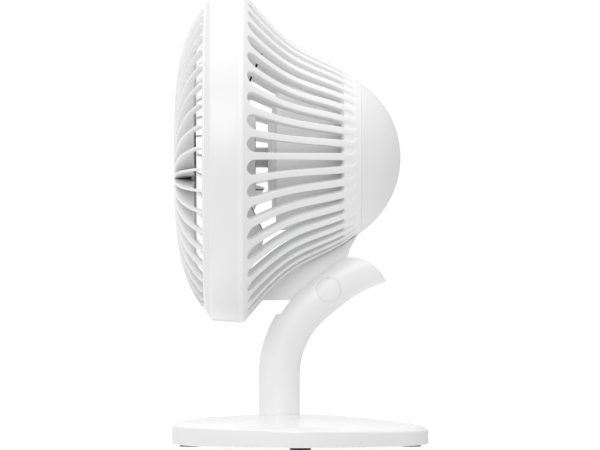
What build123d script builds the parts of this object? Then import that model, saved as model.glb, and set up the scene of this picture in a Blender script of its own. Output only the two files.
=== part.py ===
from build123d import *

import math
import os

# Desk fan, in millimetres. +Z is up and the fan blows towards -Y.
# The origin is the centre of the round base, on the surface that the fan stands on.

# ---------------------------------------------------------------- driving dimensions
# Base
base_radius = 77.0
foot_height = 1.6
rim_height = 10.4
shoulder_radius = 3.3
base_top = 19.2
cover_wall = 2.4
cap_edge_radius = 73.7
cap_edge_height = 13.7
top_tilt = 0.97
foot_radius = 6.3
foot_circle = 66.0
plate_bottom = 2.0
plate_top = 3.8
base_screw_circle = 62.0
ballast_radius = 57.0
ballast_bottom = 4.6
ballast_top = 11.4

# Button and power socket
button_y = -50.0
button_radius = 5.5
button_gap = 0.25
button_flange_bottom = 12.4
board_bottom = 6.0
board_thickness = 1.6
socket_height = 6.4
socket_board_thickness = 0.9

# Arm: a round tube that rises upright, bends back over arm_bend and levels off
tube_radius = 12.4
tube_bore = 9.8
stem_y = -12.7
bend_start = 42.5
bend_radius = 57.5
straight_slope = 39.0
straight_length = 13.0
end_radius = 75.0
end_slope = 22.0
flange_radius = 18.0
flange_bottom = 12.6
lead_hole_y = -4.6
flange_top = 15.6
arm_screw_circle = 15.2

# Tilt pivot, across the fan
pivot_y = 16.9
pivot_z = 94.1
slot_half = 7.0
neck_half = 6.6
slot_floor = 79.4
lobe_radius = 9.0
lobe_gap = 0.8
slot_rear_angle = 32.0
bolt_radius = 3.0
running_gap = 0.05
cap_radius = 7.2
cap_gap = 0.1

# Head: every ring below is given as (y, radius) about the fan's own axis
axis_z = 173.3
band_front = (-53.2, 97.9)
band_rear = (-33.7, 99.1)
lip = (-56.6, 91.85)
seam_y = -36.8
slot_corner = (-30.4, 94.9)
crest = [slot_corner, (-15.6, 78.4), (-2.8, 67.7), (12.2, 59.7), (24.5, 53.3), (35.8, 45.2)]
rib_depth = (-2.5, -4.3)
slot_count = 42
slot_front_y = -31.2
slot_rear_y = 26.8
collar_y = 36.4
cup_radius = 43.5
cup_wall = 1.8
cup_front = -14.6
dome_radius = 54.0
dome_rim = 44.7
dome_wall = 2.0

# What crosses the housing's solid underside: screws as (y, head seat, length), and the lead
neck_screw_places = [(-11.0, -69.0, 14.0), (0.5, -60.0, 15.0), (14.0, -54.0, 15.0)]
lead_y = 7.0
lead_radius = 1.5

# Front grille
fin_count = 43
fin_thickness = 1.5
swirl_radius = 12.3
rim_y = -57.8
grille_radius = 91.5
grille_height = 18.0
fin_turn = 2.97
fin_back = -63.1
fin_root_radius = 77.0
fin_foot = (84.0, -57.0)
support_radius = 32.0

# Motor and impeller
shaft_radius = 2.0
motor_radius = 21.0
step_radius = 23.5
step_front = -19.4
motor_rear = 14.0
bush_radius = 6.0
blade_count = 3
blade_tip = 82.0
hub_radius = 25.0
hub_front = -52.0
hub_rear = -26.9
sleeve_radius = 5.9
sleeve_rear = -19.9
blade_y = -40.5
blade_turn = 7.5

HEAD = Pos(0, 0, axis_z)
ABOUT_HEAD = Axis((0, 0, 0), (0, 1, 0))


# ---------------------------------------------------------------- helpers
def save(name, *solids):
    """Write one sub-part, made of one or more separate solids, as parts/name.step."""
    pieces = []
    for solid in solids:
        pieces.extend(solid.solids())
    shape = pieces[0] if len(pieces) == 1 else Compound(children=pieces)
    shape.label = name
    export_step(shape, f"parts/{name}.step")


def turned(*points):
    """A solid of revolution about the fan's axis from a closed outline of (y, radius) points."""
    return revolve(Plane.YZ * make_face(Polyline(*points, close=True)), ABOUT_HEAD)


def joined(*lines):
    """One wire from lines, arcs, splines and polylines that meet end to end."""
    return Wire([edge for line in lines for edge in line.edges()])


def tube(outer, inner, start, end):
    """A plain ring about the fan's axis from y = start to y = end."""
    return turned((start, inner), (end, inner), (end, outer), (start, outer))


def rod(radius, start, end):
    """A plain round bar on the fan's axis from y = start to y = end."""
    return turned((start, 0), (end, 0), (end, radius), (start, radius))


def upright(radius, bottom, top, x=0.0, y=0.0):
    """A round bar along Z."""
    return Pos(x, y, bottom) * extrude(Circle(radius), top - bottom)


def crosswise(radius, start, end):
    """A round bar along X on the tilt pivot, from x = start to x = end."""
    low, high = min(start, end), max(start, end)
    return Pos(low, pivot_y, pivot_z) * (Plane.YZ * extrude(Circle(radius), high - low))


def block(x, y, z):
    """A box from three (low, high) pairs."""
    size = [pair[1] - pair[0] for pair in (x, y, z)]
    middle = [(pair[1] + pair[0]) / 2 for pair in (x, y, z)]
    return Pos(*middle) * Box(*size)


def plate_outline(wire_edges, half):
    """A flat plate of an outline in the YZ plane, from x = -half to x = +half."""
    return extrude(Plane.YZ * make_face(wire_edges), half, both=True)


def around(count, radius, start_angle=0.0):
    """Evenly spaced points on a circle."""
    for step in range(count):
        angle = math.radians(start_angle + 360 * step / count)
        yield radius * math.cos(angle), radius * math.sin(angle)


# ---------------------------------------------------------------- base
def cap_height(radius, drop=0.0):
    """The height of the domed top at a radius; drop measures from a lower, parallel surface."""
    rise = base_top - cap_edge_height
    curve = (cap_edge_radius**2 + rise**2) / (2 * rise)
    return base_top - curve + math.sqrt((curve - drop) ** 2 - radius**2)


def tilt_rise(y):
    """How far the tilted top stands above a level one; it is highest at the front."""
    return -y * math.sin(math.radians(top_tilt))


def base_cover():
    """A thin cover: upright rim, round shoulder and a shallow domed top that slopes to the back."""
    inner_radius = base_radius - cover_wall
    skirt = -3.0
    inner_edge = (cap_edge_radius - 1.0, cap_height(cap_edge_radius - 1.0, cover_wall))
    half = cap_edge_radius / 2
    edge = (cap_edge_radius, cap_edge_height)
    shoulder = (base_radius - 0.29 * shoulder_radius, rim_height + 0.71 * (edge[1] - rim_height))
    section = joined(
        Polyline(
            (inner_radius, skirt), (base_radius, skirt), (base_radius, rim_height),
        ),
        ThreePointArc((base_radius, rim_height), shoulder, edge),
        ThreePointArc(edge, (half, cap_height(half)), (0, base_top)),
        Line((0, base_top), (0, base_top - cover_wall)),
        ThreePointArc((0, base_top - cover_wall), (half, cap_height(half, cover_wall)), inner_edge),
        Polyline(inner_edge, (inner_radius, rim_height - 1.0), (inner_radius, skirt)),
    )
    shell = Rot(-top_tilt, 0, 0) * revolve(Plane.XZ * make_face(section), Axis.Z)
    shell -= upright(2 * base_radius, 2 * skirt, foot_height)
    for x, y in around(4, base_screw_circle, 45):
        shell += upright(3.4, plate_top, cap_height(base_screw_circle) - 1.2, x, y)
    for x, y in around(4, base_screw_circle, 45):
        shell -= upright(1.15, 0, 12.0, x, y)
    shell -= upright(tube_radius + cap_gap, 10, 30, 0, stem_y)
    shell -= upright(button_radius + button_gap, 8, 30, 0, button_y)
    mouth = RectangleRounded(9.8, 4.2, 1.6)
    shell -= Pos(0, 60, socket_height) * (Plane.XZ * extrude(mouth, -30))
    return shell


def base_plate():
    plate = upright(base_radius - cover_wall - 0.2, plate_bottom, plate_top)
    for x, y in around(4, foot_circle):
        plate -= upright(foot_radius + cap_gap, 0, foot_height + 1.0, x, y)
    for x, y in around(4, base_screw_circle, 45):
        plate -= upright(1.6, 0, 10, x, y)
        plate -= upright(3.1, 0, plate_bottom + 1.0, x, y)
    for x in (-15, 15):
        for y in (-59, -41):
            plate += upright(2.2, plate_top - 0.5, board_bottom, x, y)
    return plate


def ballast_weight():
    weight = upright(ballast_radius, ballast_bottom, ballast_top)
    weight -= block((-23, 23), (-70, -35), (0, 20))
    weight -= block((-3.2, 3.2), (-40, stem_y), (0, 20))
    weight -= upright(3.2, 0, 20, 0, stem_y)
    for x, y in around(4, arm_screw_circle, 45):
        weight -= upright(1.7, 0, 20, x, y + stem_y)
        weight -= upright(3.3, 0, ballast_bottom + 2.4, x, y + stem_y)
    return weight


def rubber_feet():
    feet = []
    for x, y in around(4, foot_circle):
        foot = upright(foot_radius, 0, foot_height + 1.0, x, y)
        feet.append(chamfer(foot.edges().group_by(Axis.Z)[0], 0.4))
    return feet


def screw(head_radius, head_height, shank_radius, length):
    """A screw with its head's outer face on z = 0 and its shank running up +Z."""
    body = upright(head_radius, 0, head_height) + upright(shank_radius, 0, length)
    body -= extrude(Rectangle(0.9 * head_radius, 0.22 * head_radius), 0.45 * head_height)
    body -= extrude(Rectangle(0.22 * head_radius, 0.9 * head_radius), 0.45 * head_height)
    return body


def base_screws():
    one = screw(2.8, 0.9, 1.1, 8.6)
    return [Pos(x, y, plate_bottom + 0.1) * one for x, y in around(4, base_screw_circle, 45)]


def control_board():
    top = board_bottom + board_thickness
    board = block((-20, 20), (-63, -38), (board_bottom, top))
    chip = block((-14, -8), (-52, -46), (top, top + 1.2))
    plug = block((-4, 4), (-42, -38), (top, top + 3.6))
    plug -= Pos(0, -38, top + 1.9) * (Plane.XZ * extrude(Circle(1.65), 3))
    return board + chip + plug


def tactile_switch():
    top = board_bottom + board_thickness
    body = block((-3, 3), (button_y - 3, button_y + 3), (top, top + 3.5))
    return body + upright(1.7, top + 3, top + 4.1, 0, button_y)


def socket_board():
    top = socket_height - 1.6
    return block((-8.5, 8.5), (58.5, 73.6), (top - socket_board_thickness, top))


def power_socket():
    body = block((-4.6, 4.6), (68.8, 76.2), (socket_height - 1.6, socket_height + 1.6))
    body = fillet(body.edges().filter_by(Axis.Y), 1.2)
    hollow = block((-4.2, 4.2), (70.2, 80), (socket_height - 1.2, socket_height + 1.2))
    body -= fillet(hollow.edges().filter_by(Axis.Y), 0.9)
    tongue = block((-3.3, 3.3), (69.5, 75.0), (socket_height - 0.35, socket_height + 0.35))
    return body + tongue


def power_button():
    """A round key that stands level with the base's top, with a flange that keeps it in."""
    top = cap_height(-button_y) + tilt_rise(button_y) + 0.1
    key = upright(button_radius, button_flange_bottom, top, 0, button_y)
    key = fillet(key.edges().group_by(Axis.Z)[-1], 0.5)
    flange = upright(button_radius + 1.0, button_flange_bottom, button_flange_bottom + 0.9, 0, button_y)
    return key + flange


# ---------------------------------------------------------------- arm
def arm_path(bottom):
    """The tube's centreline: upright, a bend, a short straight and a gentler bend to the tip."""
    foot = Line((stem_y, bottom), (stem_y, bend_start))
    centre_y = stem_y + bend_radius
    slope = math.radians(straight_slope)
    bend_end = (
        centre_y - bend_radius * math.sin(slope),
        bend_start + bend_radius * math.cos(slope),
    )
    bend = RadiusArc((stem_y, bend_start), bend_end, bend_radius)
    run_end = (
        bend_end[0] + straight_length * math.cos(slope),
        bend_end[1] + straight_length * math.sin(slope),
    )
    run = Line(bend_end, run_end)
    last = math.radians(end_slope)
    tip_start = (
        run_end[0] + end_radius * (math.sin(slope) - math.sin(last)),
        run_end[1] + end_radius * (math.cos(last) - math.cos(slope)),
    )
    level = RadiusArc(run_end, tip_start, end_radius)
    tip = Line(tip_start, (tip_start[0] + 20 * math.cos(last), tip_start[1] + 20 * math.sin(last)))
    return Plane.YZ * joined(foot, bend, run, level, tip)


def bore_path(bottom, top_slope):
    """The lower part of the same centreline, to where it slopes at top_slope degrees."""
    slope = math.radians(top_slope)
    bend_end = (
        stem_y + bend_radius * (1 - math.sin(slope)),
        bend_start + bend_radius * math.cos(slope),
    )
    foot = Line((stem_y, bottom), (stem_y, bend_start))
    return Plane.YZ * joined(foot, RadiusArc((stem_y, bend_start), bend_end, bend_radius))


def pivot_point(radius, degrees):
    """A (y, z) point at a distance and an angle above +Y about the tilt pivot."""
    angle = math.radians(degrees)
    return pivot_y + radius * math.cos(angle), pivot_z + radius * math.sin(angle)


def beak():
    """What is cut away above the arm's rounded-over end."""
    over = Spline((31.5, 113.5), (39.5, 111.7), (46.0, 107.0), (51.6, 99.2), tangents=((1, 0), (1, -1.7)))
    rest = Polyline((51.6, 99.2), (54, 92), (80, 92), (80, 140), (20, 140), (20, 113.5), (31.5, 113.5))
    return plate_outline(joined(over, rest), 30)


def arm_slot():
    """The space between the cheeks: room for the neck at every tilt."""
    rear = pivot_point(60, slot_rear_angle)
    lobe = lobe_radius + lobe_gap
    swing = [
        (pivot_y, pivot_z - lobe),
        (-2.0, slot_floor),
        (-40, slot_floor),
        (-40, 150),
        (rear[0], 150),
        rear,
        pivot_point(lobe - 0.5, slot_rear_angle),
    ]
    space = plate_outline(Polyline(*swing, close=True), slot_half)
    return space + crosswise(lobe, -slot_half, slot_half)


def arm_solid():
    """Both halves of the arm in one, before it is split down the middle."""
    path = arm_path(flange_bottom)
    section = Pos(0, stem_y, flange_bottom) * Circle(tube_radius)
    arm = sweep(section, path=path)
    arm += upright(flange_radius, flange_bottom, flange_top, 0, stem_y)
    hole = Pos(0, stem_y, flange_bottom) * Circle(tube_bore)
    arm -= sweep(hole, path=bore_path(flange_bottom, 60))
    arm -= beak()
    arm -= arm_slot()
    for side in (1, -1):
        arm -= crosswise(cap_radius + cap_gap, side * 9.2, side * 20)
        arm -= crosswise(5.5, side * 8.5, side * 20)
    arm -= crosswise(bolt_radius + running_gap, -20, 20)
    for x, y in around(4, arm_screw_circle, 45):
        arm -= upright(1.25, 0, flange_top - 0.6, x, y + stem_y)
    arm -= upright(1.7, 70, slot_floor + 1, 0, lead_hole_y)
    return arm


def arm_half(arm, side):
    reach = (0, 40) if side > 0 else (-40, 0)
    return arm & block(reach, (-60, 90), (0, 160))


def arm_screws():
    one = screw(3.0, 2.2, 1.2, 9.4)
    spots = around(4, arm_screw_circle, 45)
    return [Pos(x, y + stem_y, ballast_bottom + 0.2) * one for x, y in spots]


def arm_lead():
    """The inner lead, from the board's plug to the top of the arm's bore."""
    lead_z = board_bottom + board_thickness + 1.9
    corner = 6.0
    slope = math.radians(62)
    end = (stem_y + bend_radius * (1 - math.sin(slope)), bend_start + bend_radius * math.cos(slope))
    run = Line((-41.0, lead_z), (stem_y - corner, lead_z))
    turn = RadiusArc((stem_y - corner, lead_z), (stem_y, lead_z + corner), -corner)
    rise = Line((stem_y, lead_z + corner), (stem_y, bend_start))
    bend = RadiusArc((stem_y, bend_start), end, bend_radius)
    path = Plane.YZ * joined(run, turn, rise, bend)
    section = Plane((0, -41.0, lead_z), x_dir=(1, 0, 0), z_dir=(0, 1, 0)) * Circle(1.6)
    return sweep(section, path=path)


def pivot_cap(side):
    """A plug that follows the tube's round surface and hides the bolt's end."""
    path = arm_path(flange_bottom)
    cap = crosswise(cap_radius, side * 9.2, side * 20)
    cap &= sweep(Pos(0, stem_y, flange_bottom) * Circle(tube_radius), path=path)
    cap -= crosswise(5.6, side * 9.2, side * 10.9)
    return cap


def pivot_bolt():
    bolt = crosswise(bolt_radius, -10.2, 10.6)
    bolt += crosswise(5.0, 8.55, 10.6)
    socket = RegularPolygon(1.7, 6)
    bolt -= Pos(9.4, pivot_y, pivot_z) * (Plane.YZ * extrude(socket, 5))
    return bolt


def pivot_nut():
    nut = Pos(-10.4, pivot_y, pivot_z) * (Plane.YZ * extrude(RegularPolygon(5.3, 6), 1.9))
    return nut - crosswise(bolt_radius, -12, -8)


def friction_washers():
    washers = []
    for side in (1, -1):
        ring = crosswise(8.2, side * (slot_half - 0.3), side * slot_half)
        washers.append(ring - crosswise(bolt_radius + cap_gap, -20, 20))
    return washers


# ---------------------------------------------------------------- head
def crest_solid():
    """Everything inside the rear housing's outer surface, rim corner and collar included."""
    curve = Spline(*crest)
    rest = Polyline(crest[-1], (collar_y, 44.9), (collar_y, 0), (seam_y, 0), (seam_y, band_rear[1]))
    rim = Polyline((seam_y, band_rear[1]), band_rear, slot_corner)
    return revolve(Plane.YZ * make_face(joined(curve, rest, rim)), ABOUT_HEAD)


def slot_cutter():
    """One cooling slot, wider towards the rim, with round ends, cut straight out from the axis."""
    wide, middle, narrow = 4.75, 3.25, 1.95
    front, rear = slot_front_y + wide, slot_rear_y - narrow
    outline = joined(
        Polyline((-narrow, rear), (-middle, -2.8), (-wide, front)),
        ThreePointArc((-wide, front), (0, slot_front_y), (wide, front)),
        Polyline((wide, front), (middle, -2.8), (narrow, rear)),
        ThreePointArc((narrow, rear), (0, slot_rear_y), (-narrow, rear)),
    )
    return Pos(0, 0, 40) * extrude(make_face(outline), 80)


def rear_housing():
    """The flared basket of ribs behind the band, in one moulding with its rim and collar."""
    shift_y, shift_r = rib_depth
    outer = Spline(*crest)
    inner = Spline(*[(y + shift_y, r + shift_r) for y, r in reversed(crest)])
    back = Polyline(crest[-1], (collar_y, 44.9), (collar_y, 41.0), inner @ 0)
    spigot = Polyline(
        inner @ 1, (seam_y, 94.0), (-42.0, 94.0), (-42.0, 96.4), (seam_y, 96.4),
        (seam_y, band_rear[1]), band_rear, slot_corner,
    )
    shell = revolve(Plane.YZ * make_face(joined(outer, back, inner, spigot)), ABOUT_HEAD)
    shell -= rod(cup_radius + cap_gap, -60, 60)
    pitch = 360 / slot_count
    cutter = slot_cutter()
    top_slots = [Rot(0, pitch * step, 0) * cutter for step in range(slot_count)]
    bottom = slot_count // 2
    shell = shell - [tool for step, tool in enumerate(top_slots) if step != bottom]
    for y, seat, length in neck_screw_places:
        shell -= upright(1.7, -120, -40, 0, y)
        shell -= upright(3.2, seat, -cup_radius, 0, y)
    return shell - upright(lead_radius + 0.3, -70, -40, 0, lead_y)


def neck_bracket():
    """The flat neck under the head, which turns between the arm's cheeks."""
    low_front = (-25.5, 87.6)
    edge = [
        low_front,
        (4.0, 87.6),
        pivot_point(lobe_radius, 250),
        pivot_point(lobe_radius - 0.2, 350),
        pivot_point(lobe_radius - 0.2, 57),
        (28.4, 113.7),
        (29.6, 117.8),
        (32.6, 123.8),
        (36.1, 130.0),
        (-25.5, 130.0),
    ]
    neck = plate_outline(Polyline(*edge, close=True), neck_half)
    neck += crosswise(lobe_radius, -neck_half, neck_half)
    neck -= HEAD * crest_solid()
    neck -= crosswise(bolt_radius + running_gap, -20, 20)
    for y, seat, length in neck_screw_places:
        neck -= HEAD * upright(1.55, seat - length, seat + 10, 0, y)
    neck -= upright(lead_radius + 0.3, 80.0, 140, 0, lead_y)
    return max(neck.solids(), key=lambda solid: solid.volume)


def neck_screws():
    screws = []
    for y, seat, length in neck_screw_places:
        body = upright(2.9, seat, seat + 2.0, 0, y) + upright(1.5, seat - length, seat + 1, 0, y)
        body -= Pos(0, y, seat + 1.2) * extrude(RegularPolygon(1.4, 6), 2)
        screws.append(HEAD * body)
    return screws


def motor_cup():
    inner = cup_radius - cup_wall
    cup = turned(
        (cup_front, motor_radius + 0.2), (cup_front, cup_radius - 1.2), (cup_front + 1.2, cup_radius),
        (collar_y - 4, cup_radius), (collar_y - 4, inner), (cup_front + 2, inner),
        (cup_front + 2, motor_radius + 0.2),
    )
    for x, z in around(3, 27.5, 90):
        cup -= Pos(x, cup_front - 5, z) * (Plane.XZ * extrude(Circle(1.3), -20))
    return HEAD * (cup - upright(lead_radius + 0.3, -60, -30, 0, lead_y))


def motor_screws():
    """Three screws, from behind, through the cup's front wall into the motor's front flange."""
    one = screw(2.4, 1.6, 1.2, 5.2)
    turn = Rot(90, 0, 0)
    return [
        HEAD * (Pos(x, cup_front + 3.6, z) * (turn * one)) for x, z in around(3, 27.5, 90)
    ]


def motor_body():
    """The motor's can, with the wide front flange that shows in front of the cup."""
    can = turned(
        (step_front, bush_radius), (step_front, step_radius - 1), (step_front + 1, step_radius),
        (cup_front - 2.5, step_radius), (cup_front - 2.5, 30.5), (cup_front, 30.5),
        (cup_front, motor_radius), (motor_rear, motor_radius), (motor_rear, 18.5),
        (-12.0, 18.5), (-12.0, bush_radius),
    )
    for x, z in around(3, 27.5, 90):
        can -= Pos(x, cup_front - 2.0, z) * (Plane.XZ * extrude(Circle(1.25), -20))
    return HEAD * can


def motor_end_cap():
    cap = tube(motor_radius, bush_radius, motor_rear, motor_rear + 4)
    for x in (-14, 14):
        cap += Pos(x, motor_rear + 3, 0) * (Plane.XZ * extrude(Circle(2), -4))
    return HEAD * cap


def bush(start, end):
    return HEAD * tube(bush_radius, shaft_radius + 0.03, start, end)


def stator_windings():
    return [HEAD * tube(17.6, 12.2, start, start + 3.0) for start in (-11.6, 8.2)]


def motor_board():
    board = block((-18, 18), (21.0, 22.6), (-18, 18)) - Pos(0, 15, 0) * (
        Plane.XZ * extrude(Circle(5), -15)
    )
    plug = block((-4, 4), (19.4, 21.5), (-20.0, -15.5))
    return HEAD * (board + plug)


def motor_lead():
    """The head's end of the lead, up through the neck, the housing and the cup to the board."""
    board_y = 20.5
    route = [(lead_y, 88.0), (lead_y, axis_z - 34.0), (board_y, axis_z - 28.0), (board_y, axis_z - 20.0)]
    path = Plane.YZ * FilletPolyline(*route, radius=5.0)
    return sweep(Pos(0, lead_y, 88.0) * Circle(lead_radius), path=path)


def dome_cover():
    """The round back of the head, a cap of a sphere with a spigot that pushes into the cup."""
    centre = collar_y - math.sqrt(dome_radius**2 - dome_rim**2)
    skin = Pos(0, centre, 0) * (Sphere(dome_radius) - Sphere(dome_radius - dome_wall))
    skin &= block((-90, 90), (collar_y, 90), (-90, 90))
    spigot = turned(
        (collar_y - 6, 39.8), (collar_y - 6, 41.5), (collar_y, 41.5), (collar_y, dome_rim),
        (collar_y + 1.5, dome_rim - 1.6), (collar_y + 1.5, 39.8),
    )
    return HEAD * (skin + spigot)


def front_bezel():
    """The smooth band round the head, with its front lip and the flange behind the grille."""
    ring = turned(
        lip, band_front, (seam_y, band_rear[1] - 0.1), (seam_y, 96.6), (-43.0, 96.6),
        (-51.0, 95.4), (-52.4, 94.6), (-52.4, 87.5), (-54.0, 87.5), (-54.0, lip[1]),
    )
    for x, z in around(4, 89.8, 45):
        ring -= Pos(x, -58, z) * (Plane.XZ * extrude(Circle(1.2), -10))
    return HEAD * ring


def grille_front(radius):
    """How far forward the grille's front edge stands at a radius: flat-topped, steep at the rim."""
    share = radius / grille_radius
    return rim_y - grille_height * (1 - 0.25 * share**2 - 0.75 * share**4.6)


def fin():
    """One straight vane, from where it is tangent to the centre out to the rim."""
    length = math.sqrt((grille_radius - 1.5) ** 2 - swirl_radius**2)
    front = []
    for step in range(8):
        along = length * step / 7
        front.append((along, grille_front(math.hypot(along, swirl_radius))))
    edge = Spline(*front)
    root = math.sqrt(fin_root_radius**2 - swirl_radius**2)
    foot = math.sqrt(fin_foot[0] ** 2 - swirl_radius**2)
    back = Polyline(
        front[-1], (length, fin_foot[1]), (foot, fin_foot[1]), (root, fin_back), (0, fin_back), front[0]
    )
    face = make_face(joined(edge, back))
    return Pos(0, 0, -swirl_radius) * extrude(face, fin_thickness / 2, both=True)


def front_grille():
    """The domed guard: a rim, a support disc and a swirl of deep thin fins, in one moulding."""
    rim = turned(
        (rim_y + 3.8, 88.0), (rim_y + 1.2, 88.0), (rim_y - 0.4, 89.2), (rim_y, 91.0),
        (rim_y + 0.8, 91.7), (rim_y + 3.8, 91.7),
    )
    disc = tube(support_radius, 6.0, -65.1, -63.1) + tube(12.6, 8.0, -74.6, -63.1)
    pitch = 360 / fin_count
    vane = fin()
    vanes = [Rot(0, -(fin_turn + pitch * step), 0) * vane for step in range(fin_count)]
    grille = (rim + disc) + vanes
    for x, z in around(4, 89.8, 45):
        grille -= Pos(x, -57, z) * (Plane.XZ * extrude(Circle(1.05), -10))
    return HEAD * grille


def grille_boss():
    """The plain cap at the grille's centre."""
    cap = turned((-74.6, 0), (-75.8, 0), (-75.8, 10.8), (-75.2, 11.4), (-74.6, 11.4))
    stem = rod(7.8, -74.7, -66.0)
    return HEAD * (cap + stem)


def grille_screws():
    one = screw(2.0, 1.2, 1.0, 5.6)
    turn = Rot(90, 0, 0)
    return [HEAD * (Pos(x, -51.2, z) * (turn * one)) for x, z in around(4, 89.8, 45)]


# ---------------------------------------------------------------- rotor
def blade():
    """One twisted blade that points along +X, wider and flatter towards its tip."""
    stations = [(17.0, 27.0, 40.0, 3.0), (50.0, 50.0, 24.0, 2.2), (86.0, 74.0, 12.0, 1.6)]
    sections = []
    for radius, chord, pitch, thickness in stations:
        lean = math.radians(pitch)
        along = Plane((radius, blade_y, 0), x_dir=(0, math.sin(lean), -math.cos(lean)), z_dir=(1, 0, 0))
        sections.append(along * Rectangle(chord, thickness))
    return loft(sections) & rod(blade_tip, -80, 0)


def impeller():
    hub = turned(
        (hub_front, 0), (hub_front, 13.0), (hub_front + 3, 18.5), (hub_front + 8, hub_radius),
        (hub_rear, hub_radius), (hub_rear, 23.0), (hub_front + 8, 20.0), (hub_front + 6, 17.0), (hub_front + 4, sleeve_radius),
        (sleeve_rear, sleeve_radius), (sleeve_rear, 0),
    )
    one = blade() - rod(hub_radius - 1.0, -80, 0)
    wheel = hub + [Rot(0, blade_turn + 360 / blade_count * step, 0) * one for step in range(blade_count)]
    return HEAD * (wheel - rod(shaft_radius, -80, 0))


def spinner_nut():
    nut = rod(5.0, -56.0, hub_front) - rod(shaft_radius, -60, -40)
    return HEAD * chamfer(nut.edges().group_by(Axis.Y)[0], 0.8)


# ---------------------------------------------------------------- write every sub-part
os.makedirs("parts", exist_ok=True)

save("base_cover", base_cover())
save("base_plate", base_plate())
save("ballast_weight", ballast_weight())
save("rubber_feet", *rubber_feet())
save("base_screws", *base_screws())
save("control_board", control_board())
save("tactile_switch", tactile_switch())
save("socket_board", socket_board())
save("power_socket", power_socket())
save("power_button", power_button())

arm = arm_solid()
save("arm_left_shell", arm_half(arm, -1))
save("arm_right_shell", arm_half(arm, 1))
save("arm_screws", *arm_screws())
save("arm_lead", arm_lead())
save("pivot_bolt", pivot_bolt())
save("pivot_nut", pivot_nut())
save("pivot_cap_left", pivot_cap(-1))
save("pivot_cap_right", pivot_cap(1))
save("friction_washers", *friction_washers())

save("rear_housing", HEAD * rear_housing())
save("neck_bracket", neck_bracket())
save("neck_screws", *neck_screws())
save("motor_cup", motor_cup())
save("motor_body", motor_body())
save("motor_end_cap", motor_end_cap())
save("motor_screws", *motor_screws())
save("motor_board", motor_board())
save("motor_lead", motor_lead())
save("front_bush", bush(step_front + 0.4, -12.0))
save("rear_bush", bush(motor_rear - 1.0, motor_rear + 4))
save("stator_core", HEAD * tube(18.4, 11.6, -8.0, 8.0))
save("stator_windings", *stator_windings())
save("dome_cover", dome_cover())
save("front_bezel", front_bezel())
save("front_grille", front_grille())
save("grille_boss", grille_boss())
save("grille_screws", *grille_screws())

save("impeller", impeller())
save("motor_shaft", HEAD * rod(shaft_radius, -57.0, 19.0))
save("rotor_magnet", HEAD * tube(11.0, shaft_radius, -9.0, 9.0))
save("spinner_nut", spinner_nut())
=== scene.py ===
"""Looks of a white desk fan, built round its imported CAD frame.

Lengths are in millimetres until a mesh is made. +Z is up, and the fan blows towards -Y along its own
level axis. The head's outlines are (y, radius) about that axis, and the base's are (radius, z) about
the upright line through its centre. A third number of an outline point is its corner's radius.
"""

import math

import bmesh
import bpy
import numpy as np
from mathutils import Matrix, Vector


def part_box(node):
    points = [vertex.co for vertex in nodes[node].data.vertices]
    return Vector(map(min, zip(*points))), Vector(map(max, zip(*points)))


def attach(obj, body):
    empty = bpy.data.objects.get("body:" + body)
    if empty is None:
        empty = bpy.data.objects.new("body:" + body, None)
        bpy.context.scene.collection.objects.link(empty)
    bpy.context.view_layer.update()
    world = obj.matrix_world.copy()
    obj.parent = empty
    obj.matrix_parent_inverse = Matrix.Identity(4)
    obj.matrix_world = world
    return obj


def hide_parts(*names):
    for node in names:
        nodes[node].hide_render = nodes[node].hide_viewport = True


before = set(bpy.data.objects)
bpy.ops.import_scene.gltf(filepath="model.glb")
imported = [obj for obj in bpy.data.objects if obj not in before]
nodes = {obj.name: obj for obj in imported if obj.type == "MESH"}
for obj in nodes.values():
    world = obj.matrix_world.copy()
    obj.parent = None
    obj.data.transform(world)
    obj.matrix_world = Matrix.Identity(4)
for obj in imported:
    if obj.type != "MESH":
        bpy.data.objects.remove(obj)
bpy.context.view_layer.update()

MM = 0.001


# ---------------------------------------------------------------- places and sizes, from the frame
def centre_and_size(node):
    """A CAD node's centre and size, in millimetres."""
    low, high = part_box(node)
    return (low + high) / 2 / MM, (high - low) / MM


def radius_of(node):
    """Half a CAD node's width across the fan."""
    return centre_and_size(node)[1].x / 2


def front_of(node):
    """Where a CAD node begins in y, at its front."""
    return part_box(node)[0].y / MM


def back_of(node):
    """Where a CAD node ends in y, at its back."""
    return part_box(node)[1].y / MM


def bottom_of(node):
    """A CAD node's lowest z."""
    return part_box(node)[0].z / MM


def top_of(node):
    """A CAD node's highest z."""
    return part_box(node)[1].z / MM


axis_z = centre_and_size("dome_cover")[0].z
ring_radius = radius_of("rear_housing")
collar_y = back_of("rear_housing")
lip_y = front_of("front_bezel")
cup_radius = radius_of("motor_cup")
cup_front = front_of("motor_cup")
dome_rim = radius_of("dome_cover")
base_radius = radius_of("base_cover")
foot_height = bottom_of("base_cover")
stem_y = centre_and_size("arm_screws")[0].y
button_y = centre_and_size("power_button")[0].y

# ---------------------------------------------------------------- sizes of what the frame doesn't tell
# The ribbed housing, whose crest runs from the rim's corner to the collar
seam_y = -36.8
rim_corner = (-33.6, ring_radius - 0.4)
crest = [(-30.4, 94.9), (-15.6, 78.4), (-2.8, 67.7), (12.2, 59.7), (24.5, 53.3), (35.8, 45.2)]
rib_depth = (-2.5, -4.3)
front_row_y, rear_row_y = -32.2, 34.2
spigot_y, spigot_inner, spigot_outer = -42.0, 94.0, 96.4
cup_gap = 0.3

# Its slots, and the shallow groove that each runs on into
slot_count = 42
slot_front_y, slot_middle_y, slot_rear_y = -31.0, -2.8, 26.8
front_half_width, middle_half_width, rear_half_width = 4.45, 3.05, 1.85
groove_end_y, groove_end_half_width, groove_depth = 32.6, 1.55, 0.75
edge_round, edge_spread, edge_rise = 0.6, 0.75, 0.45

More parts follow.
